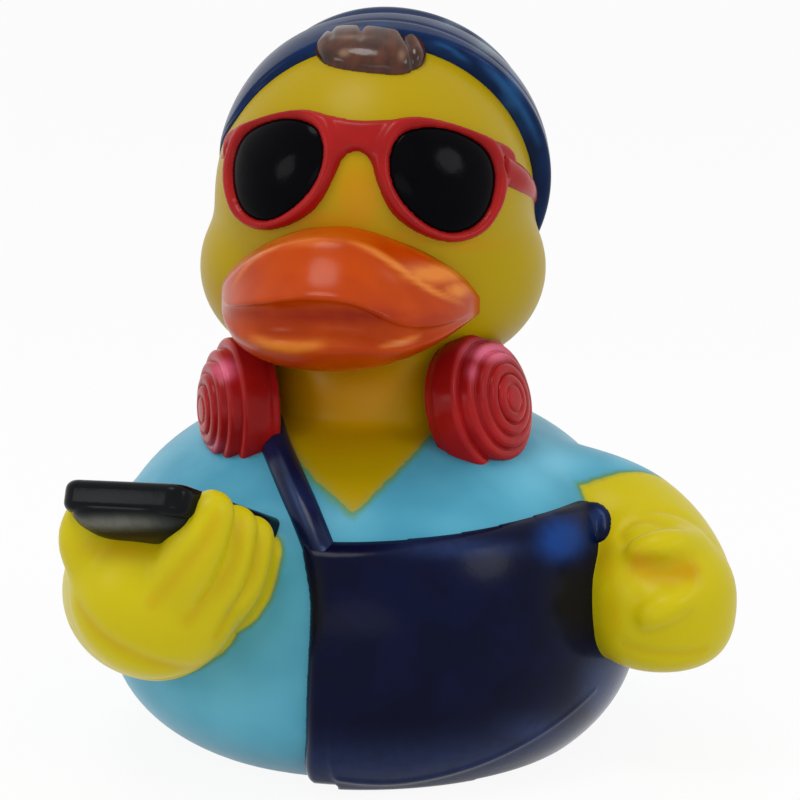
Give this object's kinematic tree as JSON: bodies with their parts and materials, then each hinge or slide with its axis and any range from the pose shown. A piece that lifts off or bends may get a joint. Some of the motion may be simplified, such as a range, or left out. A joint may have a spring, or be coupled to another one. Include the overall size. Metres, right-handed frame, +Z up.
{
  "type": "rubber duck",
  "caption": "Hollow moulded vinyl toy duck with cap, sunglasses, neck headphones, a phone in one hand and a bag, on a flat base.",
  "frame": {"origin": "middle of the flat base, under the middle of the body", "axes": "+Z up from the base, -Y the way the duck looks, +X to the duck's own left hand"},
  "size_m": [0.0816, 0.0969, 0.0905],
  "materials": {
    "yellow_vinyl": "satin moulded vinyl",
    "blue_paint": "satin sprayed paint on vinyl",
    "navy_paint": "gloss paint on vinyl",
    "red_paint": "semi-gloss paint on vinyl",
    "orange_paint": "satin sprayed paint on vinyl",
    "black_paint": "gloss paint on vinyl",
    "brown_paint": "gloss paint on vinyl"
  },
  "bodies": {
    "root": {"duck": "yellow_vinyl"}
  },
  "joints": []
}
